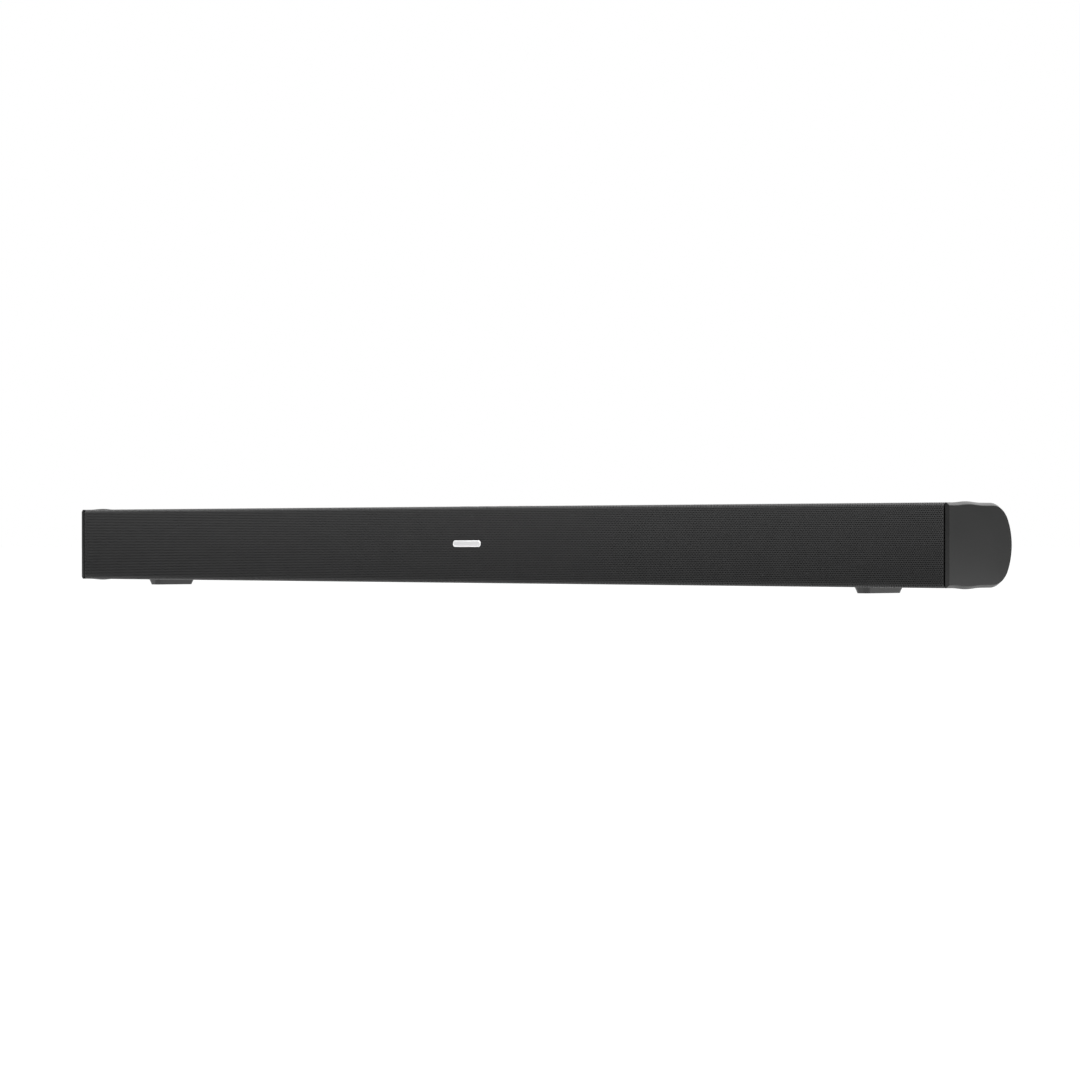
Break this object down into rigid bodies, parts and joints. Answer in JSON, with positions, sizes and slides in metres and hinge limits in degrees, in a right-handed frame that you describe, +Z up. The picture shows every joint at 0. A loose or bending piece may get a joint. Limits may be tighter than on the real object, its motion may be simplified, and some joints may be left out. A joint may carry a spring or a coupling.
{
  "type": "soundbar",
  "caption": "Long slim black soundbar with a D-shaped section, a perforated steel front, flat end caps and two rubber feet",
  "frame": {"origin": "on the surface the bar stands on, under the middle of its length and depth", "axes": "+X along the bar to the right seen from the front, -Y out of the grille, +Z up"},
  "size_m": [0.958, 0.0728, 0.0653],
  "materials": {
    "badge_metal": "satin, blank",
    "baffle_plastic": "moulded matt black",
    "basket_steel": "black paint on pressed steel",
    "board_laminate": "green solder mask",
    "button_plastic": "smooth satin black",
    "cap_plastic": "smooth satin, dark grey",
    "chip_plastic": "moulded epoxy and sleeved cans",
    "cone_paper": "black coated paper",
    "dome_fabric": "doped silk dome",
    "foam": "closed-cell foam",
    "foot_rubber": "smooth black silicone rubber",
    "grille_steel": "black powder coat on perforated sheet",
    "insert_brass": "turned",
    "lead_jacket": "black PVC sleeve",
    "lens_plastic": "dark infrared-clear acrylic",
    "motor_steel": "zinc plated steel over ferrite",
    "panel_plastic": "moulded matt black",
    "screw_steel": "black zinc plate",
    "shell_plastic": "fine matt spark texture, near black",
    "sink_aluminium": "plain extruded",
    "socket_metal": "nickel plated steel",
    "socket_plastic": "moulded black nylon",
    "surround_rubber": "soft butyl rubber"
  },
  "bodies": {
    "bar": {"aux_socket": "socket_plastic", "badge": "badge_metal", "baffle_gasket": "foam", "baffle_screws": "screw_steel", "board_components": "chip_plastic", "board_screws": "screw_steel", "button_board": "board_laminate", "button_board_posts": "baffle_plastic", "button_switches": "socket_plastic", "cap_screws": "screw_steel", "connector_panel": "panel_plastic", "dc_inlet": "socket_plastic", "driver_screws": "screw_steel", "front_baffle": "baffle_plastic", "front_grille": "grille_steel", "grille_frame": "baffle_plastic", "hdmi_socket": "socket_metal", "heat_sink": "sink_aluminium", "left_cap_gasket": "foam", "left_end_cap": "cap_plastic", "left_foot": "foot_rubber", "left_inner_woofer_basket": "basket_steel", "left_inner_woofer_motor": "motor_steel", "left_inner_woofer_suspension": "surround_rubber", "left_outer_woofer_basket": "basket_steel", "left_outer_woofer_motor": "motor_steel", "left_outer_woofer_suspension": "surround_rubber", "left_tweeter_motor": "motor_steel", "left_tweeter_plate": "basket_steel", "main_board": "board_laminate", "optical_socket": "socket_plastic", "panel_screws": "screw_steel", "rear_shell": "shell_plastic", "right_cap_gasket": "foam", "right_end_cap": "cap_plastic", "right_foot": "foot_rubber", "right_inner_woofer_basket": "basket_steel", "right_inner_woofer_motor": "motor_steel", "right_inner_woofer_suspension": "surround_rubber", "right_outer_woofer_basket": "basket_steel", "right_outer_woofer_motor": "motor_steel", "right_outer_woofer_suspension": "surround_rubber", "right_tweeter_motor": "motor_steel", "right_tweeter_plate": "basket_steel", "sensor_board": "board_laminate", "sensor_lens": "lens_plastic", "speaker_leads": "lead_jacket", "usb_socket": "socket_metal", "wall_inserts": "insert_brass"},
    "left_outer_woofer_cone_body": {"left_outer_woofer_cone": "cone_paper"},
    "left_inner_woofer_cone_body": {"left_inner_woofer_cone": "cone_paper"},
    "right_inner_woofer_cone_body": {"right_inner_woofer_cone": "cone_paper"},
    "right_outer_woofer_cone_body": {"right_outer_woofer_cone": "cone_paper"},
    "left_tweeter_dome_body": {"left_tweeter_dome": "dome_fabric"},
    "right_tweeter_dome_body": {"right_tweeter_dome": "dome_fabric"},
    "power_button_body": {"power_button": "button_plastic"},
    "source_button_body": {"source_button": "button_plastic"},
    "volume_down_button_body": {"volume_down_button": "button_plastic"},
    "volume_up_button_body": {"volume_up_button": "button_plastic"},
    "optical_flap_body": {"optical_flap": "socket_plastic"}
  },
  "joints": [
    {"name": "left_outer_cone_travel", "type": "slide", "parent": "bar", "child": "left_outer_woofer_cone_body", "axis": [0, -1, 0], "range_m": [-0.0015, 0.0015], "stiffness_N_per_m": 1200, "deforming": ["left_outer_woofer_suspension"]},
    {"name": "left_inner_cone_travel", "type": "slide", "parent": "bar", "child": "left_inner_woofer_cone_body", "axis": [0, -1, 0], "range_m": [-0.0015, 0.0015], "stiffness_N_per_m": 1200, "deforming": ["left_inner_woofer_suspension"]},
    {"name": "right_inner_cone_travel", "type": "slide", "parent": "bar", "child": "right_inner_woofer_cone_body", "axis": [0, -1, 0], "range_m": [-0.0015, 0.0015], "stiffness_N_per_m": 1200, "deforming": ["right_inner_woofer_suspension"]},
    {"name": "right_outer_cone_travel", "type": "slide", "parent": "bar", "child": "right_outer_woofer_cone_body", "axis": [0, -1, 0], "range_m": [-0.0015, 0.0015], "stiffness_N_per_m": 1200, "deforming": ["right_outer_woofer_suspension"]},
    {"name": "left_dome_travel", "type": "slide", "parent": "bar", "child": "left_tweeter_dome_body", "axis": [0, -1, 0], "range_m": [-0.0003, 0.0003], "stiffness_N_per_m": 2500},
    {"name": "right_dome_travel", "type": "slide", "parent": "bar", "child": "right_tweeter_dome_body", "axis": [0, -1, 0], "range_m": [-0.0003, 0.0003], "stiffness_N_per_m": 2500},
    {"name": "power_press", "type": "slide", "parent": "bar", "child": "power_button_body", "axis": [0, 0, -1], "range_m": [0, 0.0005], "stiffness_N_per_m": 3000},
    {"name": "source_press", "type": "slide", "parent": "bar", "child": "source_button_body", "axis": [0, 0, -1], "range_m": [0, 0.0005], "stiffness_N_per_m": 3000},
    {"name": "volume_down_press", "type": "slide", "parent": "bar", "child": "volume_down_button_body", "axis": [0, 0, -1], "range_m": [0, 0.0005], "stiffness_N_per_m": 3000},
    {"name": "volume_up_press", "type": "slide", "parent": "bar", "child": "volume_up_button_body", "axis": [0, 0, -1], "range_m": [0, 0.0005], "stiffness_N_per_m": 3000},
    {"name": "optical_flap_hinge", "type": "hinge", "parent": "bar", "child": "optical_flap_body", "pos_m": [-0.023, 0.0228, 0.0376], "axis": [-1, 0, 0], "range_deg": [0, 80], "stiffness_Nm_per_rad": 0.0008}
  ]
}
